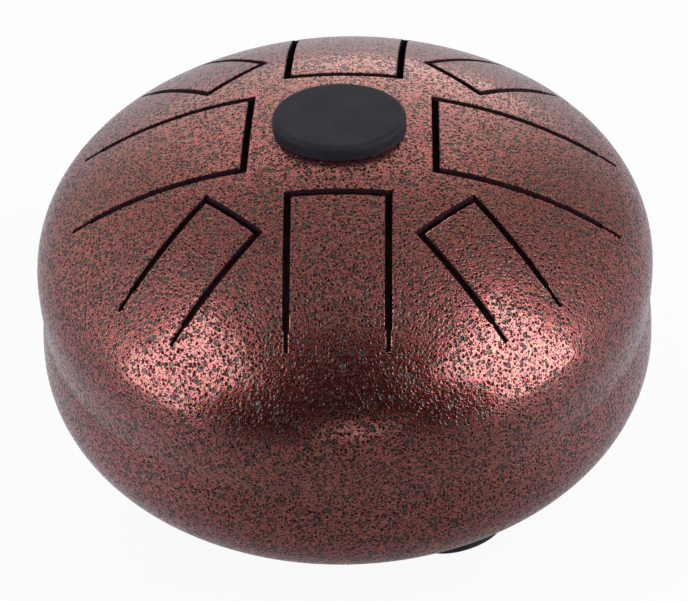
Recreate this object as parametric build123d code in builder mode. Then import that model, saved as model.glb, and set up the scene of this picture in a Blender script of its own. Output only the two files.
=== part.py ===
import os
from math import asin, cos, degrees, radians, sin, sqrt

from build123d import *

os.makedirs("parts", exist_ok=True)

# Steel tongue drum. It stands on the XY plane with its axis on Z, and its front is towards -Y.
# Lengths are in millimetres and angles in degrees.

# Shell halves, both pressed in one die
shell_radius = 101.5  # outside, at the widest ring
crown_radius = 140.0  # outside of the spherical crown
knuckle_radius = 29.5  # outside of the bend from crown to skirt
skirt_height = 15.0  # from the widest ring to the seam
waist_depth = 1.2  # how far the skirt draws in at the seam
wall = 2.0

# Weld around the seam and the port under the drum
weld_leg = 1.2
port_radius = 25.0
port_round = 0.7

# Slits between the tongues and the crown; their outer ends run out in a narrow tail
slit_width = 2.3
tail_width = 1.4
tail_length = 6.0
root_gap = 0.05  # hairline where a tongue's root meets the crown

# Tongues, measured in plan: span between the slits' middle lines, tip slit from the drum's axis as a
# share of the shell's radius, and the land of whole steel between a root and the widest ring
front_span = 32.2
long_span = 36.9
short_span = 24.2
front_tip_share = 0.2956
right_tip_share = 0.3044
back_tip_share = 0.3064
left_tip_share = 0.2946
near_right_tip_share = 0.4857
near_left_tip_share = 0.4749
far_tip_share = 0.5172
front_land = 20.8
right_land = 11.5
back_land = 13.0
left_land = 15.0
near_land = 13.7
far_land = 12.2

# Where each tongue points, counted from the front towards +X
tongue_angles = {
    "front": 0.5,
    "front_right": 45.0,
    "right": 91.3,
    "back_right": 136.5,
    "back": 179.5,
    "back_left": 222.5,
    "left": 268.0,
    "front_left": 316.0,
}

# Span, tip and root of each tongue
tongues = {
    "front": (front_span, front_tip_share * shell_radius, shell_radius - front_land),
    "front_right": (short_span, near_right_tip_share * shell_radius, shell_radius - near_land),
    "right": (long_span, right_tip_share * shell_radius, shell_radius - right_land),
    "back_right": (short_span, far_tip_share * shell_radius, shell_radius - far_land),
    "back": (long_span, back_tip_share * shell_radius, shell_radius - back_land),
    "back_left": (short_span, far_tip_share * shell_radius, shell_radius - far_land),
    "left": (long_span, left_tip_share * shell_radius, shell_radius - left_land),
    "front_left": (short_span, near_left_tip_share * shell_radius, shell_radius - near_land),
}

# Oval rubber cap, held by a stem with a barbed head under the crown
cap_length = 43.3
cap_depth = 35.0
cap_height = 4.2  # at its middle, above the crown
cap_round = 1.8
stem_radius = 5.0
barb_radius = 6.2
barb_length = 5.0
stem_gap = 0.1  # between a stem or a screw and its hole
seat_gap = 0.05  # between rubber and steel

# Rubber feet, square to the lower crown, each held by a washer and a screw
foot_ring_radius = 54.0  # of the feet's middles on the crown
foot_base_radius = 16.2
foot_end_radius = 15.4
foot_height = 9.5
foot_round = 2.5
foot_flat = 0.4  # depth of the flat that meets the floor
foot_bore_radius = 7.0
foot_bore_depth = 5.0
washer_radius = 6.8
washer_thickness = 1.0
screw_radius = 2.4
screw_reach = 4.0  # beyond the inside of the wall
head_radius = 4.4
head_height = 2.8
head_round = 1.2
recess_length = 4.6
recess_width = 1.1
recess_depth = 1.4

# Where each foot stands, counted from the front towards +X
foot_angles = {"front_right": 41.0, "back": 161.0, "left": 281.0}

overrun = 5.0  # how far cutting tools pass the face that they cut

# Shell section, worked out from the sizes above
knuckle_middle = shell_radius - knuckle_radius
crown_angle = degrees(asin(knuckle_middle / (crown_radius - knuckle_radius)))
knuckle_angle = 90 - crown_angle
dome_rise = crown_radius - (crown_radius - knuckle_radius) * cos(radians(crown_angle))
skirt_radius = (skirt_height**2 + waist_depth**2) / (2 * waist_depth)
skirt_middle = shell_radius - skirt_radius
bevel_radius = skirt_middle + sqrt(skirt_radius**2 - (skirt_height - weld_leg) ** 2)
rim_radius = bevel_radius - weld_leg
shell_height = skirt_height + dome_rise

# Heights above the floor: the tilted feet set the lower crown's centre, and the shells stack on it
foot_tilt = asin(foot_ring_radius / crown_radius)  # in radians
foot_drop = (crown_radius + foot_height - foot_round) * cos(foot_tilt)
foot_drop += (foot_end_radius - foot_round) * sin(foot_tilt)
lower_centre = foot_drop + foot_round - foot_flat
seam_height = lower_centre - crown_radius + shell_height
upper_centre = seam_height + shell_height - crown_radius

upper_half = Plane((0, 0, seam_height), x_dir=(1, 0, 0), z_dir=(0, -1, 0))
lower_half = Plane((0, 0, seam_height), x_dir=(1, 0, 0), z_dir=(0, 1, 0))


def shell_section(half):
    """Wall of one shell half, from its bevelled rim to its pole."""
    crown_middle = (0, shell_height - crown_radius)
    bend_middle = (knuckle_middle, skirt_height)
    skirt_centre = (skirt_middle, skirt_height)
    outer_skirt = degrees(asin((skirt_height - weld_leg) / skirt_radius))
    inner_skirt = degrees(asin(skirt_height / (skirt_radius - wall)))
    with BuildSketch(half) as section:
        with BuildLine():
            CenterArc(skirt_centre, skirt_radius, -outer_skirt, outer_skirt)
            CenterArc(bend_middle, knuckle_radius, 0, knuckle_angle)
            outer = CenterArc(crown_middle, crown_radius, knuckle_angle, crown_angle)
            inner = CenterArc(crown_middle, crown_radius - wall, 90, -crown_angle)
            CenterArc(bend_middle, knuckle_radius - wall, knuckle_angle, -knuckle_angle)
            inside = CenterArc(skirt_centre, skirt_radius - wall, 0, -inner_skirt)
            Line(outer @ 1, inner @ 0)
            Polyline(inside @ 1, (rim_radius, 0), (bevel_radius, weld_leg))
        make_face()
    return section.sketch


def plan_plane(azimuth):
    """Level plane at the seam, with its X axis along a tongue."""
    along = (sin(radians(azimuth)), -cos(radians(azimuth)), 0)
    return Plane((0, 0, seam_height), x_dir=along, z_dir=(0, 0, 1))


def root_plane(azimuth, root):
    """Plane square to the crown along a tongue's root, facing away from the tongue."""
    slope = asin(root / crown_radius)
    outward = (cos(slope) * sin(radians(azimuth)), -cos(slope) * cos(radians(azimuth)), -sin(slope))
    return Plane((0, 0, upper_centre), z_dir=outward)


def slit_edge(span, tip, root, end, side):
    """Edge of a slit in plan: side is 1 for the crown's edge and -1 for the tongue's edge."""
    start = tip - side * slit_width / 2
    half = (span + side * slit_width) / 2
    tail = (span + side * tail_width) / 2
    step = root - tail_length
    below = [(start, -half), (step, -half), (step, -tail), (end, -tail)]
    above = [(along, -across) for along, across in reversed(below)]
    return below + above


def opening(azimuth, span, tip, root):
    """Tool that clears one tongue, its two side slits and its tip slit from the crown."""
    plan = plan_plane(azimuth)
    with BuildPart() as tool:
        with BuildSketch(plan):
            with BuildLine():
                Polyline((tip, -span / 2), (root + overrun, -span / 2), (root + overrun, span / 2),
                         (tip, span / 2), close=True)
            make_face()
        extrude(amount=shell_height)
        split(bisect_by=root_plane(azimuth, root), keep=Keep.BOTTOM)
        with BuildSketch(plan):
            with BuildLine():
                Polyline(*slit_edge(span, tip, root, root, 1), close=True)
            make_face()
            with BuildLine():
                Polyline(*slit_edge(span, tip, root, root + overrun, -1), close=True)
            make_face(mode=Mode.SUBTRACT)
        extrude(amount=shell_height)
    return tool.part


# Upper shell with its tongue openings and the hole for the cap's stem
with BuildPart() as top_shell:
    revolve(shell_section(upper_half), axis=Axis.Z)
    for name, sizes in tongues.items():
        add(opening(tongue_angles[name], *sizes), mode=Mode.SUBTRACT)
    with BuildSketch(Plane.XY.offset(seam_height)):
        Circle(stem_radius + stem_gap)
    extrude(amount=shell_height, mode=Mode.SUBTRACT)
top_shell.part.label = "top_shell"
export_step(top_shell.part, "parts/top_shell.step")

# Tongues, cut from the same crown
for name, (span, tip, root) in tongues.items():
    azimuth = tongue_angles[name]
    with BuildPart() as tongue:
        revolve(shell_section(upper_half), axis=Axis.Z)
        with BuildSketch(plan_plane(azimuth)):
            with BuildLine():
                Polyline(*slit_edge(span, tip, root, root + overrun, -1), close=True)
            make_face()
        extrude(amount=shell_height, mode=Mode.INTERSECT)
        split(bisect_by=root_plane(azimuth, root).offset(-root_gap), keep=Keep.BOTTOM)
    tongue.part.label = f"tongue_{name}"
    export_step(tongue.part, f"parts/tongue_{name}.step")

# Weld that fills the bevels of both rims
with BuildPart() as seam_weld:
    with BuildSketch(upper_half):
        with BuildLine():
            Polyline((rim_radius, 0), (bevel_radius, -weld_leg), (bevel_radius, weld_leg), close=True)
        make_face()
    revolve(axis=Axis.Z)
seam_weld.part.label = "seam_weld"
export_step(seam_weld.part, "parts/seam_weld.step")


def foot_direction(azimuth):
    """Way that a foot points, square to the lower crown."""
    level = sin(foot_tilt)
    return Vector(level * sin(radians(azimuth)), -level * cos(radians(azimuth)), -cos(foot_tilt))


def foot_axis(azimuth):
    """Axis of a foot, starting where it meets the lower crown."""
    direction = foot_direction(azimuth)
    return Axis(Vector(0, 0, lower_centre) + direction * crown_radius, direction)


def foot_section(azimuth):
    """Plane through a foot's axis: X is its radius and Y its height from the crown."""
    axis = foot_axis(azimuth)
    across = Vector(cos(radians(azimuth)), sin(radians(azimuth)), 0)
    return Plane(axis.position, x_dir=across, z_dir=across.cross(axis.direction))


def foot_level(azimuth, height):
    """Plane square to a foot's axis at a height above the crown."""
    axis = foot_axis(azimuth)
    return Plane(axis.position + axis.direction * height, z_dir=axis.direction)


# Lower shell with its port and the holes for the feet's screws
with BuildPart() as bottom_shell:
    revolve(shell_section(lower_half), axis=Axis.Z)
    with BuildSketch(Plane.XY.offset(lower_centre - crown_radius)):
        Circle(port_radius)
    extrude(amount=shell_height, both=True, mode=Mode.SUBTRACT)
    port_wall = bottom_shell.faces().filter_by(GeomType.CYLINDER)
    fillet(port_wall.edges().filter_by(GeomType.CIRCLE), port_round)
    for azimuth in foot_angles.values():
        with BuildSketch(foot_level(azimuth, 0)):
            Circle(screw_radius + stem_gap)
        extrude(amount=wall + overrun, both=True, mode=Mode.SUBTRACT)
bottom_shell.part.label = "bottom_shell"
export_step(bottom_shell.part, "parts/bottom_shell.step")

# Oval cap that follows the crown, with its stem and barbed head
stem_foot = upper_centre + sqrt((crown_radius - wall) ** 2 - barb_radius**2) - seat_gap
cap_middle = upper_centre + crown_radius + cap_height / 2
with BuildPart() as centre_cap:
    with BuildSketch(Plane.XY.offset(seam_height)):
        Ellipse(cap_length / 2, cap_depth / 2)
    extrude(amount=shell_height + cap_height)
    fillet(centre_cap.edges().group_by(Axis.Z)[-1], cap_round)
    with Locations((0, 0, upper_centre)):
        Sphere(crown_radius + seat_gap, mode=Mode.SUBTRACT)
    with BuildSketch(Plane.XZ):
        with BuildLine():
            Polyline((0, cap_middle), (stem_radius, cap_middle), (stem_radius, stem_foot),
                     (barb_radius, stem_foot), (stem_radius / 2, stem_foot - barb_length),
                     (0, stem_foot - barb_length), close=True)
        make_face()
    revolve(axis=Axis.Z)
centre_cap.part.label = "centre_cap"
export_step(centre_cap.part, "parts/centre_cap.step")

# Rubber feet with a stepped bore, cut flat where they meet the floor
seat_radius = crown_radius + seat_gap
screw_hole = screw_radius + stem_gap
bore_floor = foot_height - foot_bore_depth
hole_seat = sqrt(seat_radius**2 - screw_hole**2) - crown_radius
base_turn = degrees(asin(foot_base_radius / seat_radius))
hole_turn = degrees(asin(screw_hole / seat_radius))
for name, azimuth in foot_angles.items():
    with BuildPart() as foot:
        with BuildSketch(foot_section(azimuth)) as side:
            with BuildLine():
                seat = CenterArc((0, -crown_radius), seat_radius, 90 - hole_turn, hole_turn - base_turn)
                Polyline(seat @ 1, (foot_end_radius, foot_height), (foot_bore_radius, foot_height),
                         (foot_bore_radius, bore_floor), (screw_hole, bore_floor), seat @ 0)
            make_face()
            fillet(side.vertices().group_by(Axis.Y)[-1].sort_by(Axis.X)[-1], foot_round)
        revolve(axis=foot_axis(azimuth))
        split(bisect_by=Plane.XY, keep=Keep.TOP)
    foot.part.label = f"foot_{name}"
    export_step(foot.part, f"parts/foot_{name}.step")

# Washers on the floor of each foot's bore
with BuildPart() as foot_washers:
    for azimuth in foot_angles.values():
        with BuildSketch(foot_level(azimuth, bore_floor)):
            Circle(washer_radius)
            Circle(screw_hole, mode=Mode.SUBTRACT)
        extrude(amount=washer_thickness)
foot_washers.part.label = "foot_washers"
export_step(foot_washers.part, "parts/foot_washers.step")

# Thread-forming screws with a round head and a cross recess
head_base = bore_floor + washer_thickness
head_top = head_base + head_height
with BuildPart() as foot_screws:
    for azimuth in foot_angles.values():
        with BuildSketch(foot_section(azimuth)) as side:
            with BuildLine():
                Polyline((0, -wall - screw_reach), (screw_radius, -wall - screw_reach),
                         (screw_radius, head_base), (head_radius, head_base), (head_radius, head_top),
                         (0, head_top), close=True)
            make_face()
            fillet(side.vertices().group_by(Axis.Y)[-1].sort_by(Axis.X)[-1], head_round)
        revolve(axis=foot_axis(azimuth))
    for azimuth in foot_angles.values():
        with BuildSketch(foot_level(azimuth, head_top)):
            Rectangle(recess_length, recess_width)
            Rectangle(recess_width, recess_length)
        extrude(amount=-recess_depth, mode=Mode.SUBTRACT)
foot_screws.part.label = "foot_screws"
export_step(foot_screws.part, "parts/foot_screws.step")
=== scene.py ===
import math

import bpy
import numpy as np
from mathutils import Matrix, Vector
from mathutils.geometry import delaunay_2d_cdt


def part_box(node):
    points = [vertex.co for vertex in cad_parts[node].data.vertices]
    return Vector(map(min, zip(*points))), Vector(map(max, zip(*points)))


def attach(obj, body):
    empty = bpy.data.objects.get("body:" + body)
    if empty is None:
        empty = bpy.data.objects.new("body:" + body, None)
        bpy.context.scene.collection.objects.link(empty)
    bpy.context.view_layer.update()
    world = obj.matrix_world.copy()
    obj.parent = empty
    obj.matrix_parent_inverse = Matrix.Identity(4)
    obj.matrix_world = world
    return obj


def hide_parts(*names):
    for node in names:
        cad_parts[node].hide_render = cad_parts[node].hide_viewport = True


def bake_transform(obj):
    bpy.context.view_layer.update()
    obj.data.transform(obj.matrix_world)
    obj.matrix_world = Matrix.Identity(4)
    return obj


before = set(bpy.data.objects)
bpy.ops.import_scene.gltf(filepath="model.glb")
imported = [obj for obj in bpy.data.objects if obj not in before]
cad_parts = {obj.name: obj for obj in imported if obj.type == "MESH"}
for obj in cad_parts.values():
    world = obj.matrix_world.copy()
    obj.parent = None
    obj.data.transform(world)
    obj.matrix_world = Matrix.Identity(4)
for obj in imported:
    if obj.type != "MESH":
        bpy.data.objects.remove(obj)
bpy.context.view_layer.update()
mm = 0.001  # sizes are written in millimetres, the scene is in metres
tiny = 1e-9  # keeps divisions at the drum's axis finite


# Shader graphs

class Wire:
    # one socket in a node tree; + - * on wires add Math nodes
    def __init__(self, tree, socket=None):
        self.tree = tree
        self.socket = socket

    def add(self, kind, settings=None, inputs=None, out=0):
        # any other node: its settings first, then its sockets' values or links
        node = self.tree.nodes.new("ShaderNode" + kind)
        for key, value in (settings or {}).items():
            setattr(node, key, value)
        for key, value in (inputs or {}).items():
            if isinstance(value, Wire):
                self.tree.links.new(value.socket, node.inputs[key])
            else:
                node.inputs[key].default_value = value
        return Wire(self.tree, node.outputs[out] if node.outputs else None)

    def __add__(self, other):
        return self.add("Math", {"operation": "ADD"}, {0: self, 1: other})

    def __radd__(self, other):
        return self.add("Math", {"operation": "ADD"}, {0: other, 1: self})

    def __sub__(self, other):
        return self.add("Math", {"operation": "SUBTRACT"}, {0: self, 1: other})

    def __rsub__(self, other):
        return self.add("Math", {"operation": "SUBTRACT"}, {0: other, 1: self})

    def __mul__(self, other):
        return self.add("Math", {"operation": "MULTIPLY"}, {0: self, 1: other})

    def __rmul__(self, other):
        return self.add("Math", {"operation": "MULTIPLY"}, {0: other, 1: self})


def ease(value, low, high):
    # smooth step from 0 at low to 1 at high
    spread = {"Value": value, "From Min": low, "From Max": high}
    return value.add("MapRange", {"interpolation_type": "SMOOTHSTEP"}, spread)


def blendColour(share, low, high):
    # colour at a share of 0 and of 1
    ends = [c if isinstance(c, Wire) else (*c, 1.0) for c in (low, high)]
    return share.add("Mix", {"data_type": "RGBA"}, {0: share, 6: ends[0], 7: ends[1]}, 2)


def larger(first, second):
    return first.add("Math", {"operation": "MAXIMUM"}, {0: first, 1: second})


def newMaterial(name):
    material = bpy.data.materials.new(name)
    material.use_nodes = True
    material.node_tree.nodes.clear()
    start = Wire(material.node_tree)
    place = start.add("TexCoord", out="Object")
    return material, start, place


def surface(start, inputs):
    shader = start.add("BsdfPrincipled", None, inputs)
    start.add("OutputMaterial", None, {"Surface": shader})


def grains(place, scale, detail=2.0, rough=0.5):
    inputs = {"Vector": place, "Scale": scale, "Detail": detail, "Roughness": rough}
    return place.add("TexNoise", None, inputs)


def embossed(height, look):
    inputs = {"Strength": look["bump"], "Distance": look["relief"], "Height": height}
    return height.add("Bump", None, inputs)


# Hammer-finish powder coat: copper flakes in a glossy binder, pitted with small and large craters; the
# sides of the larger craters carry painted shade
hammerFinish = {
    "cratersPerMetre": 760.0,
    "craterReach": (1.38, 1.30),  # one over the widest crater's radius, in spacings, and what luck adds
    "craterWall": (0.34, 0.95),  # where a crater's side starts and ends, in its radii
    "craterShallow": 0.55,  # share of a crater's depth that luck takes off
    "pinholesPerMetre": 1500.0,
    "pinholeWall": (0.20, 0.55),  # the same in spacings, as for the large craters
    "pinholeLuck": (0.25, 0.45),  # share of the pinholes that is left out
    "pinholeCover": 0.8,  # how far a pinhole hides the copper
    "largePerMetre": 330.0,
    "largeWall": (0.24, 0.35),
    "largeLuck": (0.74, 0.79),  # share of the large craters that is left out
    "warpPerMetre": 1300.0,
    "warp": 0.00035,  # metres that the warp pulls the craters out of round
    "flakesPerMetre": 15000.0,
    "flakeEdge": (0.46, 0.54),  # noise at which the binder ends and a flake is whole
    "huesPerMetre": 650.0,
    "hueSpread": (0.42, 0.66),  # noise at which crimson ends and orange is full
    "shadesPerMetre": 2300.0,
    "shadeSpread": (0.40, 0.57),
    "pitEdge": (0.05, 0.40),  # depth at which the copper ends and a pit's own colour is full
    "paleLuck": (0.10, 0.50),  # luck at which a crater's pale floor starts to fade and is gone
    "paleDepth": (0.5, 0.95),  # depth at which that floor starts and is full
    "crimson": (0.81, 0.116, 0.130),
    "orange": (0.86, 0.245, 0.122),
    "shade": (0.11, 0.024, 0.023),  # copper flakes that lie askew
    "binder": (0.012, 0.003, 0.003),
    "dark": (0.032, 0.006, 0.005),  # pinholes and small craters in their own dark colour; on the sides of the others this dark is painted shade
    "crater": (0.082, 0.066, 0.056),  # floors of the others
    "largeCrater": (0.098, 0.082, 0.072),
    "flakeRough": 0.24,
    "pitRough": 0.33,
    "binderRough": 0.13,
    "binderIndex": 2.08,
    "wavesPerMetre": 260.0,
    "bump": 1.0,
    "relief": 0.000135,  # depth of the deepest craters, in metres
    "pinholeDepth": 0.25,  # share of that depth, as are the next two
    "largeDepth": 0.6,
    "wave": 1.0,
}


def makeHammerFinish(look):
    material, start, place = newMaterial("hammerFinish")
    wobbly = {"Vector": place, "Scale": look["warpPerMetre"], "Detail": 2.0}
    wobble = place.add("TexNoise", None, wobbly, "Color")
    centred = start.add("VectorMath", {"operation": "SUBTRACT"}, {0: wobble, 1: (0.5, 0.5, 0.5)})
    shift = start.add("VectorMath", {"operation": "SCALE"}, {0: centred, "Scale": look["warp"]})
    warped = start.add("VectorMath", {"operation": "ADD"}, {0: place, 1: shift})

    def holes(perMetre):
        # distance to the middle of the nearest hole, and that hole's luck from 0 to 1
        inputs = {"Vector": warped, "Scale": perMetre}
        colour = start.add("TexVoronoi", None, inputs, "Color")
        distance = start.add("TexVoronoi", None, inputs, "Distance")
        return distance, start.add("SeparateColor", None, {"Color": colour}, "Red")

    middle, luck = holes(look["cratersPerMetre"])
    reach, narrower = look["craterReach"]
    crater = 1 - ease(middle * (reach + luck * narrower), *look["craterWall"])
    pinMiddle, pinLuck = holes(look["pinholesPerMetre"])
    pinhole = (1 - ease(pinMiddle, *look["pinholeWall"])) * ease(pinLuck, *look["pinholeLuck"])
    largeMiddle, largeLuck = holes(look["largePerMetre"])
    largeCrater = (1 - ease(largeMiddle, *look["largeWall"])) * ease(largeLuck, *look["largeLuck"])
    pit = larger(larger(crater, largeCrater), pinhole * look["pinholeCover"])
    pale = larger(crater * (1 - ease(luck, *look["paleLuck"])), largeCrater)
    bottom = blendColour(largeCrater, look["crater"], look["largeCrater"])
    # the larger craters' sides get the dark colour as painted shade, their floors a pale colour of
    # their own
    pitColourAndWallShade = blendColour(ease(pale, *look["paleDepth"]), look["dark"], bottom)

    flakes = ease(grains(place, look["flakesPerMetre"], detail=0.0), *look["flakeEdge"])
    hue = ease(grains(place, look["huesPerMetre"], detail=1.0), *look["hueSpread"])
    copper = blendColour(hue, look["crimson"], look["orange"])
    facing = ease(grains(place, look["shadesPerMetre"]), *look["shadeSpread"])
    flakeColour = blendColour(facing, look["shade"], copper)
    coat = blendColour(flakes, look["binder"], flakeColour)
    colour = blendColour(ease(pit, *look["pitEdge"]), coat, pitColourAndWallShade)
    skin = look["binderRough"] + flakes * (look["flakeRough"] - look["binderRough"])
    rough = skin + pit * (look["pitRough"] - skin)

    waves = grains(place, look["wavesPerMetre"]) * look["wave"]
    dips = crater * (1 - luck * look["craterShallow"]) + pinhole * look["pinholeDepth"]
    bump = embossed(waves - (dips + largeCrater * look["largeDepth"]), look)
    surface(start, {"Base Color": colour, "Metallic": larger(flakes, pit), "Roughness": rough,
                    "IOR": look["binderIndex"], "Normal": bump})
    return material


# Walls of the slits: near-black, with fine upright cutting marks
slitWall = {
    "dark": (0.020, 0.006, 0.010),
    "light": (0.044, 0.014, 0.022),
    "marksPerMetre": 2200.0,
    "upright": (1.0, 1.0, 0.12),  # the marks' scale along each axis
    "spread": (0.35, 0.75),  # noise at which the dark colour ends and the light one is full
    "rough": (0.55, 0.2),  # least roughness, and what the marks add to it
    "specular": 0.15,
    "bump": 0.8,
    "relief": 0.00004,
}


def makeSlitWall(look):
    material, start, place = newMaterial("slitWall")
    flat = start.add("VectorMath", {"operation": "MULTIPLY"}, {0: place, 1: look["upright"]})
    marks = grains(flat, look["marksPerMetre"])
    colour = blendColour(ease(marks, *look["spread"]), look["dark"], look["light"])
    rough = look["rough"][0] + marks * look["rough"][1]
    surface(start, {"Base Color": colour, "Roughness": rough, "Specular IOR Level": look["specular"],
                    "Normal": embossed(marks, look)})
    return material


# Inside of the shells: thin, dull red overspray on steel
insideCoat = {
    "dark": (0.170, 0.080, 0.100),
    "light": (0.320, 0.160, 0.200),
    "specksPerMetre": 700.0,
    "cloudsPerMetre": 40.0,
    "mix": (0.6, 0.4),  # shares of the specks and the clouds in the colour
    "spread": (0.35, 0.65),
    "rough": (0.6, 0.25),
    "bump": 0.5,
    "relief": 0.00008,
}


def makeInsideCoat(look):
    material, start, place = newMaterial("insideCoat")
    specks = grains(place, look["specksPerMetre"], detail=3.0, rough=0.6)
    clouds = grains(place, look["cloudsPerMetre"])
    share = ease(specks * look["mix"][0] + clouds * look["mix"][1], *look["spread"])
    colour = blendColour(share, look["dark"], look["light"])
    rough = look["rough"][0] + specks * look["rough"][1]
    surface(start, {"Base Color": colour, "Roughness": rough, "Normal": embossed(specks, look)})
    return material


# Moulded rubber of the cap and the feet
rubber = {
    "dark": (0.011, 0.010, 0.016),
    "light": (0.023, 0.022, 0.033),
    "grainPerMetre": 5200.0,
    "bloomPerMetre": 130.0,
    "mix": (0.75, 0.25),  # shares of the bloom and the grain in the colour
    "spread": (0.3, 0.7),
    "rough": (0.52, 0.2),
    "specular": 0.18,
    "bump": 0.6,
    "relief": 0.00005,
}


def makeRubber(look):
    material, start, place = newMaterial("rubber")
    grain = grains(place, look["grainPerMetre"], rough=0.6)
    bloom = grains(place, look["bloomPerMetre"], detail=3.0)
    share = ease(bloom * look["mix"][0] + grain * look["mix"][1], *look["spread"])
    colour = blendColour(share, look["dark"], look["light"])
    rough = look["rough"][0] + bloom * look["rough"][1]
    surface(start, {"Base Color": colour, "Roughness": rough, "Specular IOR Level": look["specular"],
                    "Normal": embossed(grain, look)})
    return material


# Bright zinc plate of the screws and washers
zinc = {
    "dull": (0.46, 0.47, 0.49),
    "bright": (0.66, 0.67, 0.69),
    "cloudsPerMetre": 520.0,
    "scratchesPerMetre": 5200.0,
    "spread": (0.3, 0.7),
    "rough": (0.24, 0.25),
    "bump": 0.35,
    "relief": 0.00003,
}


def makeZinc(look):
    material, start, place = newMaterial("zincPlate")
    clouds = grains(place, look["cloudsPerMetre"], detail=4.0, rough=0.6)
    scratches = grains(place, look["scratchesPerMetre"], detail=1.0)
    colour = blendColour(ease(clouds, *look["spread"]), look["dull"], look["bright"])
    rough = look["rough"][0] + clouds * look["rough"][1]
    surface(start, {"Base Color": colour, "Metallic": 1.0, "Roughness": rough,
                    "Normal": embossed(scratches, look)})
    return material


hammerMaterial = makeHammerFinish(hammerFinish)
slitMaterial = makeSlitWall(slitWall)
insideMaterial = makeInsideCoat(insideCoat)
rubberMaterial = makeRubber(rubber)
zincMaterial = makeZinc(zinc)
shellMaterials = [hammerMaterial, slitMaterial, insideMaterial]
outerFace, slitFace, innerFace = range(3)  # places in that list
print("materials made:", len(bpy.data.materials))


# Meshes

def newPiece(name, points, faces, kinds, materials, normals=None, sharp=32.0):
    mesh = bpy.data.meshes.new(name)
    mesh.from_pydata((np.asarray(points) * mm).tolist(), [], faces)
    for material in materials:
        mesh.materials.append(material)
    mesh.polygons.foreach_set("material_index", kinds)
    mesh.shade_smooth()
    mesh.set_sharp_from_angle(angle=math.radians(sharp))
    if normals is not None:
        mesh.normals_split_custom_set(normals)
    mesh.validate()
    piece = bpy.data.objects.new(name, mesh)
    bpy.context.scene.collection.objects.link(piece)
    return piece


def arc(middle, radius, start, end, step):
    # points along an arc in a section, angles counted from the outward radius upwards
    count = max(2, math.ceil(abs(end - start) * radius / step))
    turn = np.linspace(start, end, count + 1)
    return [(middle[0] + radius * math.cos(t), middle[1] + radius * math.sin(t)) for t in turn]


def spinRings(section, segments):
    # rings of points round Z for a section of (radius, height)
    turn = np.arange(segments) * 2 * math.pi / segments
    section = np.asarray(section)
    return np.stack([
        section[:, :1] * np.cos(turn),
        section[:, :1] * np.sin(turn),
        np.repeat(section[:, 1:], segments, axis=1)], axis=2)


def bands(rows):
    # faces between rows of ring indices; going down a section, they face outwards
    faces = []
    for upper, lower in zip(rows[:-1], rows[1:]):
        count = len(upper)
        for k in range(count):
            n = (k + 1) % count
            faces.append((upper[k], lower[k], lower[n], upper[n]))
    return faces


def spinClosed(section, segments):
    # a closed section turned round Z
    rings = spinRings(section, segments)
    ids = np.arange(len(section) * segments).reshape(len(section), segments).tolist()
    return rings.reshape(-1, 3), bands(ids + ids[:1])


# Shell halves, both pressed in one die
shell = {
    "radius": 101.5,  # outside, at the widest ring
    "crownRadius": 140.0,
    "knuckleRadius": 29.5,
    "skirtHeight": 15.0,  # from the widest ring to the seam
    "waistDepth": 1.2,
    "wall": 2.0,
    "weldLeg": 1.2,
    "weldPoints": 7,
    "portRadius": 25.0,
    "portRound": 0.7,
    "portSteps": 4,  # points in a radius along the port's rounded edges
    "portCoat": 5,  # rows past the port's edge that the paint reaches
    "segments": 288,
    "rowStep": 2.0,
}
bendMiddle = shell["radius"] - shell["knuckleRadius"]
middlesApart = shell["crownRadius"] - shell["knuckleRadius"]  # from the crown's to the bend's
crownAngle = math.asin(bendMiddle / middlesApart)
crownMiddle = shell["skirtHeight"] - middlesApart * math.cos(crownAngle)
skirtBend = (shell["skirtHeight"] ** 2 + shell["waistDepth"] ** 2) / (2 * shell["waistDepth"])
skirtMiddle = shell["radius"] - skirtBend
weldSlope = math.asin((shell["skirtHeight"] - shell["weldLeg"]) / skirtBend)
bevelRadius = skirtMiddle + skirtBend * math.cos(weldSlope)
rimRadius = bevelRadius - shell["weldLeg"]
seam = (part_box("seam_weld")[0].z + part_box("seam_weld")[1].z) / 2 / mm


def crownHeight(radius, inset):
    # height of the crown and its bend above the seam, outside or inset by the wall
    crown = shell["crownRadius"] - inset
    bend = shell["knuckleRadius"] - inset
    onCrown = crownMiddle + np.sqrt(np.maximum(crown ** 2 - radius ** 2, 0))
    onBend = shell["skirtHeight"] + np.sqrt(np.maximum(bend ** 2 - (radius - bendMiddle) ** 2, 0))
    return np.where(radius <= crown * math.sin(crownAngle), onCrown, onBend)


def crownNormals(flat, inset):
    # way that the crown and its bend face at points in plan
    radius = np.linalg.norm(flat, axis=1)
    height = crownHeight(radius, inset)
    onCrown = radius <= (shell["crownRadius"] - inset) * math.sin(crownAngle)
    middle = np.where(onCrown, 0, bendMiddle)
    level = np.where(onCrown, crownMiddle, shell["skirtHeight"])
    outward = flat / np.maximum(radius, tiny)[:, None]
    normal = np.column_stack([outward * (radius - middle)[:, None], height - level])
    return normal / np.linalg.norm(normal, axis=1)[:, None]


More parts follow.
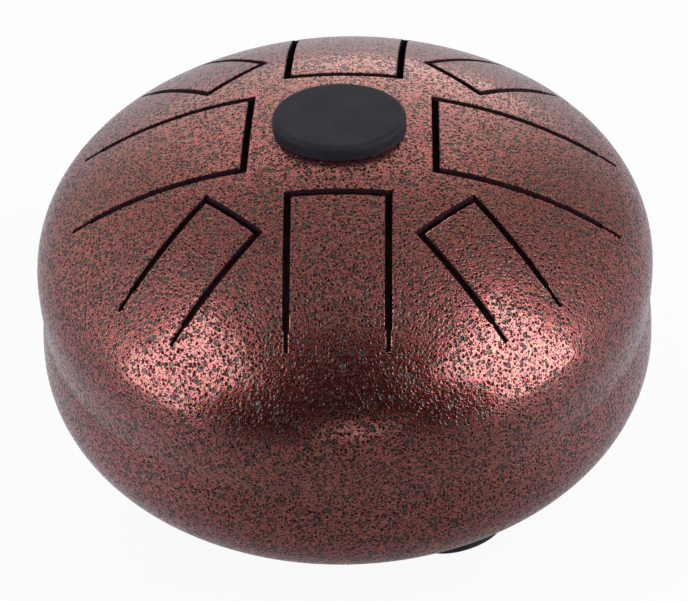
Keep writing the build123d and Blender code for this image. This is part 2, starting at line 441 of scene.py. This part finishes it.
# Tongues: angle from the front towards +X, span between the slits, tip and root from the axis
tongues = {
    "front": (0.5, 32.2, 30.0, 80.7),
    "front_right": (45.0, 24.2, 49.3, 87.8),
    "right": (91.3, 36.9, 30.9, 90.0),
    "back_right": (136.5, 24.2, 52.5, 89.3),
    "back": (179.5, 36.9, 31.1, 88.5),
    "back_left": (222.5, 24.2, 52.5, 89.3),
    "left": (268.0, 36.9, 29.9, 86.5),
    "front_left": (316.0, 24.2, 48.2, 87.8),
}
slit = {
    "width": 2.3,
    "tailWidth": 1.4,
    "tailLength": 6.0,
    "edgeRound": 0.4,  # paint and deburring round the edges
    "rows": (0.0, 0.05, 0.13, 0.25, 0.4),  # rows of points beside an edge
    "spacing": 1.6,
    "tie": 1e-7,  # a side has to be nearer by this much than the sides before it
}
sheet = {
    "rim": 96.5,
    "rimSlack": 1e-3,
    "pitch": 2.2,
    "clearance": 1.1,
    "stemHole": 5.1,
    "holePoints": 40,
    "merge": 1e-5,  # points nearer than this become one
}


def toPlan(angle, local):
    # from a tongue's own axes, along and across, to the drum's plan
    a = math.radians(angle)
    local = np.asarray(local, float)
    along, across = local[:, 0], local[:, 1]
    x = along * math.sin(a) + across * math.cos(a)
    y = across * math.sin(a) - along * math.cos(a)
    return np.column_stack([x, y])


def toTongue(angle, flat):
    # the way back, from the plan to distances along and across a tongue
    a = math.radians(angle)
    x, y = flat[:, 0], flat[:, 1]
    return x * math.sin(a) - y * math.cos(a), x * math.cos(a) + y * math.sin(a)


def slitOutline(span, tip, root, grow):
    # U-shaped slit in a tongue's own axes, grown by a distance on all sides
    far = root + grow
    step = root - slit["tailLength"] + grow
    outer, outerTail = (span + slit["width"]) / 2 + grow, (span + slit["tailWidth"]) / 2 + grow
    inner, innerTail = (span - slit["width"]) / 2 - grow, (span - slit["tailWidth"]) / 2 - grow
    start, stop = tip - slit["width"] / 2 - grow, tip + slit["width"] / 2 + grow
    around = [(far, -outerTail), (step, -outerTail), (step, -outer), (start, -outer)]
    back = [(far, innerTail), (step, innerTail), (step, inner), (stop, inner)]
    around += [(along, -across) for along, across in reversed(around)]
    back += [(along, -across) for along, across in reversed(back)]
    return around + back


def divided(outline, counts):
    # the outline with each side cut into a number of equal steps
    points = []
    for a, b, count in zip(outline, outline[1:] + outline[:1], counts):
        for share in np.arange(count) / count:
            points.append((a[0] + (b[0] - a[0]) * share, a[1] + (b[1] - a[1]) * share))
    return points


def slitDistance(flat):
    # distance from points in plan to the nearest slit edge, and the way into that slit
    distance = np.full(len(flat), np.inf)
    inward = np.zeros((len(flat), 2))
    for angle, span, tip, root in tongues.values():
        corners = toPlan(angle, slitOutline(span, tip, root, 0.0))
        for a, b in zip(corners, np.roll(corners, -1, axis=0)):
            side = b - a
            share = np.clip((flat - a) @ side / (side @ side), 0, 1)
            gap = np.linalg.norm(flat - a - share[:, None] * side, axis=1)
            nearer = gap < distance - slit["tie"]
            distance[nearer] = gap[nearer]
            inward[nearer] = np.array([-side[1], side[0]]) / np.linalg.norm(side)
    return distance, inward


def inTongue(angle, span, tip, root, flat):
    # which points in plan lie on a tongue
    along, across = toTongue(angle, flat)
    inTail = along >= root - slit["tailLength"]
    half = np.where(inTail, span - slit["tailWidth"], span - slit["width"]) / 2
    return (along > tip + slit["width"] / 2) & (along < root) & (np.abs(across) < half)


def inSlit(angle, span, tip, root, flat):
    # which points in plan lie in the slit round a tongue
    along, across = toTongue(angle, flat)
    inTail = along >= root - slit["tailLength"]
    half = np.where(inTail, span + slit["tailWidth"], span + slit["width"]) / 2
    reach = (along > tip - slit["width"] / 2) & (along < root) & (np.abs(across) < half)
    return reach & ~inTongue(angle, span, tip, root, flat)


def crownSheet():
    # one triangulation of the crown in plan, with the slits as holes and the roots as lines
    points, edges = [], []

    def line(run, closed):
        first = len(points)
        points.extend(tuple(p) for p in run)
        steps = len(run) if closed else len(run) - 1
        edges.extend((first + i, first + (i + 1) % len(run)) for i in range(steps))

    line(spinRings([(sheet["rim"], 0)], shell["segments"])[0][:, :2], True)
    line(spinRings([(sheet["stemHole"], 0)], sheet["holePoints"])[0][:, :2], True)
    for angle, span, tip, root in tongues.values():
        plain = slitOutline(span, tip, root, 0.0)
        sides = [math.dist(a, b) for a, b in zip(plain, plain[1:] + plain[:1])]
        counts = [max(1, round(side / slit["spacing"])) for side in sides]
        for grow in slit["rows"]:
            line(toPlan(angle, divided(slitOutline(span, tip, root, grow), counts)), True)
        half = (span - slit["tailWidth"]) / 2
        across = np.linspace(-half, half, round(span / sheet["pitch"]) + 1)
        line(toPlan(angle, [(root, w) for w in across]), False)
    rows = np.arange(-sheet["rim"], sheet["rim"], sheet["pitch"] * math.sqrt(3) / 2)
    grid = [(x + sheet["pitch"] / 2 * (j % 2), y) for j, y in enumerate(rows)
            for x in np.arange(-sheet["rim"], sheet["rim"], sheet["pitch"])]
    grid = np.array(grid)
    radius = np.linalg.norm(grid, axis=1)
    room = slitDistance(grid)[0] > sheet["clearance"]
    room &= radius < sheet["rim"] - sheet["clearance"]
    room &= radius > sheet["stemHole"] + sheet["clearance"]
    for angle, span, tip, root in tongues.values():
        room &= ~inSlit(angle, span, tip, root, grid)
        along, across = toTongue(angle, grid)
        room &= (np.abs(along - root) > sheet["clearance"] / 2) | (np.abs(across) > span / 2)
    points.extend(tuple(p) for p in grid[room])
    flat, _, faces, *_ = delaunay_2d_cdt([Vector(p) for p in points], edges, [], 0, sheet["merge"])
    return np.array([tuple(p) for p in flat]), np.array([tuple(f) for f in faces])


flat, triangles = crownSheet()
sideA = flat[triangles[:, 1]] - flat[triangles[:, 0]]
sideB = flat[triangles[:, 2]] - flat[triangles[:, 0]]
turned = sideA[:, 0] * sideB[:, 1] - sideA[:, 1] * sideB[:, 0] < 0
triangles[turned] = triangles[turned][:, ::-1]
middles = flat[triangles].mean(axis=1)
owner = np.full(len(triangles), "shell", dtype=object)
owner[np.linalg.norm(middles, axis=1) < sheet["stemHole"]] = "hole"
for tongueName, place in tongues.items():
    owner[inSlit(*place, middles)] = "hole"
    owner[inTongue(*place, middles)] = tongueName

# rounded slit edges: how far the face drops beside an edge, and how it turns towards the slit
edgeGap, intoSlit = slitDistance(flat)
tilt = np.clip(1 - edgeGap / slit["edgeRound"], 0, 1)
drop = slit["edgeRound"] * (1 - np.sqrt(1 - tilt ** 2))
planRadius = np.linalg.norm(flat, axis=1)
onRim = planRadius >= sheet["rim"] - sheet["rimSlack"]
outerPoints = np.column_stack([flat, seam + crownHeight(planRadius, 0.0) - drop])
innerPoints = np.column_stack([flat, seam + crownHeight(planRadius, shell["wall"])])
towards = np.column_stack([intoSlit, np.zeros(len(flat))])
outerNormals = crownNormals(flat, 0.0) * np.sqrt(1 - tilt ** 2)[:, None] + towards * tilt[:, None]
innerNormals = -crownNormals(flat, shell["wall"])
print("crown triangulated:", len(flat), "points,", len(triangles), "triangles")


def boundary(faces):
    # edges of a triangulation that only one triangle has, in that triangle's order
    found = {}
    for a, b, c in faces:
        for edge in ((a, b), (b, c), (c, a)):
            found[edge] = True
    return [edge for edge in found if edge[::-1] not in found]


def sheetSolid(faces):
    # both faces of a part of the crown and the walls between them
    faces = [tuple(int(i) for i in f) for f in faces]
    used = sorted({i for f in faces for i in f})
    number = {i: k for k, i in enumerate(used)}
    count = len(used)
    points = np.concatenate([outerPoints[used], innerPoints[used]])
    made, kinds, normals = [], [], []
    for a, b, c in faces:
        made.append((number[a], number[b], number[c]))
        made.append((number[c] + count, number[b] + count, number[a] + count))
        kinds += [outerFace, innerFace]
        normals += [outerNormals[a], outerNormals[b], outerNormals[c]]
        normals += [innerNormals[c], innerNormals[b], innerNormals[a]]
    for a, b in boundary(faces):
        if not (onRim[a] and onRim[b]):
            made.append((number[b], number[a], number[a] + count, number[b] + count))
            kinds.append(slitFace)
            normals += [(0.0, 0.0, 0.0)] * 4  # left to the mesh
    return points, made, kinds, normals, number


def topShell():
    points, faces, kinds, normals, number = sheetSolid(triangles[owner == "shell"])
    count = len(points) // 2
    step = shell["rowStep"]
    up = shell["skirtHeight"]
    inside = shell["knuckleRadius"] - shell["wall"]
    insideSkirt = skirtBend - shell["wall"]
    rimTurn = math.acos((sheet["rim"] - bendMiddle) / shell["knuckleRadius"])
    insideTurn = math.acos((sheet["rim"] - bendMiddle) / inside)
    outside = arc((bendMiddle, up), shell["knuckleRadius"], rimTurn, 0, step)
    outside += arc((skirtMiddle, up), skirtBend, 0, -weldSlope, step)[1:]
    inner = arc((skirtMiddle, up), insideSkirt, -math.asin(up / insideSkirt), 0, step)
    inner += arc((bendMiddle, up), inside, 0, insideTurn, step)[1:]
    section = outside + [(rimRadius, 0)] + inner
    rings = spinRings([(r, seam + h) for r, h in section], shell["segments"])
    # the sheet's own rim points, in order round the drum, are the first and the last ring
    order = {}
    for i, k in number.items():
        if onRim[i]:
            turn = math.atan2(flat[i][1], flat[i][0]) / (2 * math.pi) * shell["segments"]
            order[round(turn) % shell["segments"]] = k
    first = [order[k] for k in range(shell["segments"])]
    fresh = np.arange((len(section) - 2) * shell["segments"]).reshape(-1, shell["segments"])
    rows = [first] + (len(points) + fresh).tolist() + [[k + count for k in first]]
    points = np.concatenate([points, rings[1:-1].reshape(-1, 3)])
    strip = bands(rows)
    outsideFaces = (len(outside) - 1) * shell["segments"]
    kinds = kinds + [outerFace] * outsideFaces + [innerFace] * (len(strip) - outsideFaces)
    normals = normals + [(0.0, 0.0, 0.0)] * 4 * len(strip)
    return newPiece("topShellSteel", points, faces + strip, kinds, shellMaterials, normals)


steelTop = topShell()
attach(steelTop, "drum")
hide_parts("top_shell")

bendShare = 0.75  # of a tongue's length, from its root, that bends when it springs
for tongueName, (angle, span, tip, root) in tongues.items():
    points, faces, kinds, normals, _ = sheetSolid(triangles[owner == tongueName])
    steelTongue = newPiece("tongueSteel_" + tongueName, points, faces, kinds, shellMaterials, normals)
    ends = toPlan(angle, [(root, 0.0), (root + (tip - root) * bendShare, 0.0)])
    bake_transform(steelTongue)
    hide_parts("tongue_" + tongueName)
print("upper shell and", len(tongues), "tongues made")


def bottomShell():
    step = shell["rowStep"]
    wall = shell["wall"]
    up = shell["skirtHeight"]
    soft = shell["portRound"]
    crown, inCrown = shell["crownRadius"], shell["crownRadius"] - wall
    bend, inBend = shell["knuckleRadius"], shell["knuckleRadius"] - wall
    # the port's rounded edges: arcs that meet the crown and the port's upright wall
    outTurn = math.acos((shell["portRadius"] + soft) / (crown - soft))
    inTurn = math.acos((shell["portRadius"] + soft) / (inCrown + soft))
    outRound = (shell["portRadius"] + soft, crownMiddle + (crown - soft) * math.sin(outTurn))
    inRound = (shell["portRadius"] + soft, crownMiddle + (inCrown + soft) * math.sin(inTurn))
    section = arc((skirtMiddle, up), skirtBend, -weldSlope, 0, step)
    section += arc((bendMiddle, up), bend, 0, math.pi / 2 - crownAngle, step)[1:]
    section += arc((0, crownMiddle), crown, math.pi / 2 - crownAngle, outTurn, step)[1:]
    section += arc(outRound, soft, outTurn, math.pi, soft / shell["portSteps"])[1:]
    section += arc(inRound, soft, math.pi, math.pi + inTurn, soft / shell["portSteps"])
    section += arc((0, crownMiddle), inCrown, inTurn, math.pi / 2 - crownAngle, step)[1:]
    section += arc((bendMiddle, up), inBend, math.pi / 2 - crownAngle, 0, step)[1:]
    insideSkirt = skirtBend - wall
    section += arc((skirtMiddle, up), insideSkirt, 0, -math.asin(up / insideSkirt), step)[1:]
    section += [(rimRadius, 0)]
    # turned over: heights run down from the seam
    points, faces = spinClosed([(r, seam - h) for r, h in section], shell["segments"])
    painted = np.argmin([r for r, h in section]) + shell["portCoat"]
    kinds = []
    for row in range(len(section)):
        kinds += [outerFace if row < painted else innerFace] * shell["segments"]
    return newPiece("bottomShellSteel", points, faces, kinds, shellMaterials)


steelBottom = bottomShell()
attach(steelBottom, "drum")
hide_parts("bottom_shell")


def seamBand():
    # ground weld, hollowed so that it runs smoothly into both skirts
    leg = shell["weldLeg"]
    hollow = leg / math.sin(weldSlope)
    middle = bevelRadius + hollow * math.cos(weldSlope)
    turn = np.linspace(weldSlope, -weldSlope, shell["weldPoints"])
    outside = [(middle - hollow * math.cos(t), hollow * math.sin(t)) for t in turn]
    section = outside + [(rimRadius, 0)]
    points, faces = spinClosed([(r, seam + h) for r, h in section], shell["segments"])
    return newPiece("seamBand", points, faces, [0] * len(faces), [hammerMaterial])


weldBand = seamBand()
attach(weldBand, "drum")
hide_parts("seam_weld")
print("lower shell and seam made")


# Oval rubber cap on its barbed stem
cap = {
    "length": 43.3,
    "depth": 35.0,
    "height": 4.2,  # at its middle, above the crown
    "round": 1.8,
    "dome": 0.25,  # how much lower the top's edge is than its middle
    "seatGap": 0.05,
    "seatInset": 4.0,  # width of the rim that lies on the crown
    "stemRadius": 5.0,
    "stemHollow": (3.0, 0.25),  # width and depth of the hollow round the stem
    "barbRadius": 6.2,
    "barbLength": 5.0,
    "barbGap": 0.15,
    "barbEdge": 0.4,
    "barbTip": (0.3, 0.1),  # radius and length of its blunt end
    "domeShares": (0.06, 0.985, 14),  # size of the top's first and last ring, and how many there are
    "roundRings": 9,
    "sideShares": (0.35, 0.7, 0.92, 1.0),  # rings down the side
    "points": 144,
    "sharp": 40.0,
}


def rubberCap():
    turn = np.arange(cap["points"]) * 2 * math.pi / cap["points"]
    crownTop = seam + crownMiddle + shell["crownRadius"]
    top = crownTop + cap["height"]

    def ring(inset, height):
        # oval ring drawn in by a distance; a height of None lies on the crown
        x = (cap["length"] / 2 - inset) * np.cos(turn)
        y = (cap["depth"] / 2 - inset) * np.sin(turn)
        if height is None:
            crown = np.sqrt(shell["crownRadius"] ** 2 - x ** 2 - y ** 2)
            height = seam + crownMiddle + crown + cap["seatGap"]
        return np.column_stack([x, y, np.broadcast_to(height, x.shape)])

    def circle(radius, height):
        x, y = radius * np.cos(turn), radius * np.sin(turn)
        return np.column_stack([x, y, np.full(len(turn), height)])

    soft = cap["round"]
    shoulder = top - cap["dome"] - soft
    rings = []
    for share in np.linspace(*cap["domeShares"]):
        # top: oval rings growing from the middle, falling in a shallow dome
        x = (cap["length"] / 2 - soft) * share * np.cos(turn)
        y = (cap["depth"] / 2 - soft) * share * np.sin(turn)
        rings.append(np.column_stack([x, y, np.full(len(turn), top - cap["dome"] * share ** 2)]))
    for bow in np.linspace(math.pi / 2, 0, cap["roundRings"]):
        rings.append(ring(soft * (1 - math.cos(bow)), shoulder + soft * math.sin(bow)))
    seatRing = ring(0.0, None)
    for share in cap["sideShares"]:
        side = ring(0.0, shoulder)
        side[:, 2] += (seatRing[:, 2] - side[:, 2]) * share
        rings.append(side)
    under = crownTop + cap["seatGap"]
    rings.append(ring(cap["seatInset"], None))
    rings.append(circle(cap["stemRadius"] + cap["stemHollow"][0], under - cap["stemHollow"][1]))
    rings.append(circle(cap["stemRadius"], under))
    barbTop = crownTop - shell["wall"] - cap["seatGap"] - cap["barbGap"]
    rings.append(circle(cap["stemRadius"], barbTop))
    rings.append(circle(cap["barbRadius"], barbTop))
    rings.append(circle(cap["barbRadius"], barbTop - cap["barbEdge"]))
    rings.append(circle(cap["stemRadius"] / 2, barbTop - cap["barbLength"]))
    rings.append(circle(cap["barbTip"][0], barbTop - cap["barbLength"] - cap["barbTip"][1]))
    points = np.concatenate(rings)
    ids = np.arange(len(points)).reshape(len(rings), -1).tolist()
    faces = bands(ids) + [tuple(ids[0]), tuple(reversed(ids[-1]))]
    return newPiece("rubberCap", points, faces, [0] * len(faces), [rubberMaterial], sharp=cap["sharp"])


capPiece = rubberCap()
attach(capPiece, "drum")
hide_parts("centre_cap")


# Rubber feet, square to the lower crown
foot = {
    "ringRadius": 54.0,
    "baseRadius": 16.2,
    "endRadius": 15.4,
    "height": 9.5,
    "round": 2.5,
    "boreRadius": 7.0,
    "boreDepth": 5.0,
    "holeRadius": 2.5,
    "lip": 0.5,  # rounding at the bore's mouth and the base
    "seatGap": 0.05,
    "seatPoints": 6,
    "sideHeights": (2.5, 4.5, 6.0),  # rows of points up the side
    "endShares": (0.75, 0.5, 0.25),  # and across the end, from its round to the bore
    "roundSteps": 6,  # points in a radius along the end's round and along a lip
    "lipSteps": 3,
    "segments": 96,
}
footAngles = {"front_right": 41.0, "back": 161.0, "left": 281.0}


def footSection():
    # half section: radius from the foot's axis and height from the crown
    seat = shell["crownRadius"] + foot["seatGap"]
    lean = (foot["baseRadius"] - foot["endRadius"]) / foot["height"]

    def seatHeight(radius):
        return math.sqrt(seat ** 2 - radius ** 2) - shell["crownRadius"]

    big, small = foot["round"], foot["lip"]
    bigStep, smallStep = big / foot["roundSteps"], small / foot["lipSteps"]
    base, end, bore, top = foot["baseRadius"], foot["endRadius"], foot["boreRadius"], foot["height"]
    floorHeight = top - foot["boreDepth"]
    across = np.linspace(foot["holeRadius"], base - small, foot["seatPoints"])
    section = [(r, seatHeight(r)) for r in across]
    section += arc((base - small, seatHeight(base) + small), small, -math.pi / 2, 0, smallStep)
    section += [(end + lean * (top - h), h) for h in foot["sideHeights"]]
    section += arc((end - big, top - big), big, 0, math.pi / 2, bigStep)
    section += [(bore + share * (end - big - bore), top) for share in foot["endShares"]]
    section += arc((bore + small, top - small), small, math.pi / 2, math.pi, smallStep)
    section += [(bore, floorHeight), (foot["holeRadius"], floorHeight)]
    return section


lowerMiddle = seam - crownMiddle
footTilt = math.asin(foot["ringRadius"] / shell["crownRadius"])
for footName, angle in footAngles.items():
    a = math.radians(angle)
    level = math.sin(footTilt)
    down = Vector((level * math.sin(a), -level * math.cos(a), -math.cos(footTilt)))
    across = Vector((math.cos(a), math.sin(a), 0.0))
    points, faces = spinClosed(footSection(), foot["segments"])
    turnFoot = np.array([across, down.cross(across), down]).T
    points = points @ turnFoot.T + np.array(down) * shell["crownRadius"]
    points = points + np.array((0.0, 0.0, lowerMiddle))
    points[:, 2] = np.maximum(points[:, 2], 0.0)  # worn flat where it meets the floor
    faces = [tuple(reversed(f)) for f in faces]
    rubberFoot = newPiece("rubberFoot_" + footName, points, faces, [0] * len(faces), [rubberMaterial])
    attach(rubberFoot, "drum")
    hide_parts("foot_" + footName)
for nodeName in ("foot_washers", "foot_screws"):
    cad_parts[nodeName].data.materials.clear()
    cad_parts[nodeName].data.materials.append(zincMaterial)
print("cap and feet made")


# Floor, room, lamps and camera, in metres from the drum's axis
white = (1.0, 1.0, 1.0)
studioFloor = {
    "size": 12.0,
    "colour": (0.80, 0.80, 0.80),
    "cameraGlow": 0.93,  # share of plain white in the floor as the camera sees it
    "glossGlow": 0.95,  # share of the three painted brightnesses below, as gloss and glass see the floor
    # painted light and shade on the floor, seen only in gloss and glass: darker in front of the drum,
    # darkest beyond it, paler and bluish round about
    "front": (0.37, 0.37, 0.37),
    "far": (0.10, 0.10, 0.10),  # painted shade beyond the front, towards the camera
    "round": (0.72, 0.74, 0.79),
    "frontMiddle": 0.03,
    "frontWiden": 0.9,  # what the front gains in half width for each metre towards the camera
    "frontEdge": (-0.08, 0.14),
    "farEdge": (0.28, 0.48),
    "stripLean": 0.12,  # the front runs on through the far floor in a strip that leans
    "stripWiden": 0.25,
    "stripEdge": (0.0, 0.12),
    "underDrum": (0.034, 0.050),  # no glow within this, where the port and the slits look down
}


def magnitude(value):
    return value.add("Math", {"operation": "ABSOLUTE"}, {0: value})


def makeFloor(look):
    bpy.ops.mesh.primitive_plane_add(size=look["size"], location=(0, 0, 0))
    floor = bpy.context.object
    floor.name = "floor"
    material, start, place = newMaterial("paleFloor")
    x = start.add("SeparateXYZ", None, {"Vector": place}, "X")
    y = start.add("SeparateXYZ", None, {"Vector": place}, "Y")
    matte = start.add("BsdfDiffuse", None, {"Color": (*look["colour"], 1.0)})
    camera = start.add("LightPath", out="Is Camera Ray")
    gloss = start.add("LightPath", out="Is Glossy Ray")
    gloss = gloss + start.add("LightPath", out="Is Transmission Ray")
    # painted light and shade that gloss and glass see on the floor; the camera sees plain white
    aside = magnitude(x - look["frontMiddle"])
    away = ease(aside + y * look["frontWiden"], *look["frontEdge"])
    strip = magnitude(x + y * look["stripLean"])
    dim = ease(0 - y, *look["farEdge"]) * ease(strip + y * look["stripWiden"], *look["stripEdge"])
    front = blendColour(dim, look["front"], look["far"])
    paintedFloorLightAndShade = blendColour(away, front, look["round"])
    colour = blendColour(camera, paintedFloorLightAndShade, white)
    glow = start.add("Emission", None, {"Color": colour, "Strength": 1.0})
    fromAxis = start.add("VectorMath", {"operation": "LENGTH"}, {0: place}, "Value")
    clear = ease(fromAxis, *look["underDrum"])
    share = camera * clear * look["cameraGlow"] + gloss * look["glossGlow"]
    mixed = start.add("MixShader", None, {0: share, 1: matte, 2: glow})
    start.add("OutputMaterial", None, {"Surface": mixed})
    floor.data.materials.append(material)


# dark room behind the camera, grey overhead, pale walls round the back, white where the camera looks
studioRoom = {
    "horizon": 1.10,  # brightness low behind the camera, where the room is dark otherwise
    "overhead": 0.52,
    "leftWall": 0.48,  # what the walls add to that
    "rightWall": 0.26,
    "backWall": 0.88,
    "cool": (0.92, 0.95, 1.0),  # tint of the room's sides, and of its back wall
    "warm": (1.0, 0.97, 0.91),
    # where each of them starts and is full, in parts of a direction of length 1
    "horizonTop": (0.0, 0.54),
    "horizonMiddle": 0.10,
    "horizonSides": (0.10, 0.31),
    "overheadFront": (-0.34, -0.22),
    "leftEdge": (0.42, 0.92),
    "rightEdge": (0.62, 0.92),
    "backEdge": (0.40, 0.70),
    "backMiddle": -0.03,
    "backSides": (0.30, 0.62),
    "coolEdge": (0.4, 0.8),
    "warmEdge": (0.25, 0.65),
}


def makeWorld(look):
    world = bpy.data.worlds.new("studio")
    bpy.context.scene.world = world
    world.use_nodes = True
    world.node_tree.nodes.clear()
    start = Wire(world.node_tree)
    way = start.add("TexCoord", out="Generated")
    x = start.add("SeparateXYZ", None, {"Vector": way}, "X")
    y = start.add("SeparateXYZ", None, {"Vector": way}, "Y")
    z = start.add("SeparateXYZ", None, {"Vector": way}, "Z")
    ahead = 1 - ease(magnitude(x - look["horizonMiddle"]), *look["horizonSides"])
    lowBand = (1 - ease(z, *look["horizonTop"])) * ahead
    leftWall = ease(0 - x, *look["leftEdge"]) * look["leftWall"]
    rightWall = ease(x, *look["rightEdge"]) * look["rightWall"]
    atBack = 1 - ease(magnitude(x - look["backMiddle"]), *look["backSides"])
    backWall = ease(y, *look["backEdge"]) * atBack * look["backWall"]
    walls = leftWall + rightWall + backWall
    room = lowBand * look["horizon"] + ease(y, *look["overheadFront"]) * (walls + look["overhead"])
    seen = start.add("LightPath", out="Is Camera Ray")
    seen = seen + start.add("LightPath", out="Is Transmission Ray")
    sides = blendColour(ease(magnitude(x), *look["coolEdge"]), white, look["cool"])
    tint = blendColour(ease(y, *look["warmEdge"]), sides, look["warm"])
    colour = blendColour(seen, tint, white)
    light = start.add("Background", None, {"Color": colour, "Strength": larger(room, seen)})
    start.add("OutputWorld", None, {"Surface": light})


softboxes = {
    # azimuth from the front towards +X, elevation, distance, width, height, watts
    "leftSoftbox": (-63.0, 26.5, 1.3, 0.66, 1.44, 9.7),
    "rightSoftbox": (68.5, 26.0, 1.3, 0.72, 1.42, 14.8),
}


def makeSoftboxes():
    aim = Vector((0, 0, seam * mm))
    for name, (angle, rise, distance, width, height, watts) in softboxes.items():
        a, e = math.radians(angle), math.radians(rise)
        way = Vector((math.sin(a) * math.cos(e), -math.cos(a) * math.cos(e), math.sin(e)))
        lamp = bpy.data.lights.new(name, "AREA")
        lamp.shape = "RECTANGLE"
        lamp.size, lamp.size_y = width, height
        lamp.energy = watts
        box = bpy.data.objects.new(name, lamp)
        box.location = aim + way * distance
        box.rotation_mode = "QUATERNION"
        box.rotation_quaternion = (-way).to_track_quat("-Z", "Y")
        bpy.context.scene.collection.objects.link(box)


# camera fitted to the photograph's outline and slits; lengths in millimetres, angles in degrees
view = {
    "imageWidth": 688,
    "focalPixels": 4426.7,
    "sensor": 36.0,
    "azimuth": 3.03,
    "elevation": 40.453,
    "roll": -2.284,
    "distance": 1473.4,
    "aimAcross": -0.79,
    "aimHeight": 70.5,
}


def makeCamera():
    a, e, roll = (math.radians(view[k]) for k in ("azimuth", "elevation", "roll"))
    right = Vector((math.cos(a), math.sin(a), 0))
    back = Vector((math.sin(a) * math.cos(e), -math.cos(a) * math.cos(e), math.sin(e)))
    up = back.cross(right)
    across = math.cos(roll) * right + math.sin(roll) * up
    upward = math.cos(roll) * up - math.sin(roll) * right
    aim = Vector((0, 0, view["aimHeight"])) + right * view["aimAcross"]
    lens = bpy.data.cameras.new("camera")
    lens.sensor_width = view["sensor"]
    lens.lens = view["focalPixels"] / view["imageWidth"] * view["sensor"]
    camera = bpy.data.objects.new("camera", lens)
    turn = Matrix((across, upward, back)).transposed()
    camera.matrix_world = Matrix.Translation((aim + back * view["distance"]) * mm) @ turn.to_4x4()
    bpy.context.scene.collection.objects.link(camera)
    bpy.context.scene.camera = camera


makeFloor(studioFloor)
makeWorld(studioRoom)
makeSoftboxes()
makeCamera()
bpy.context.scene.view_settings.view_transform = "Standard"
print("studio and camera set")
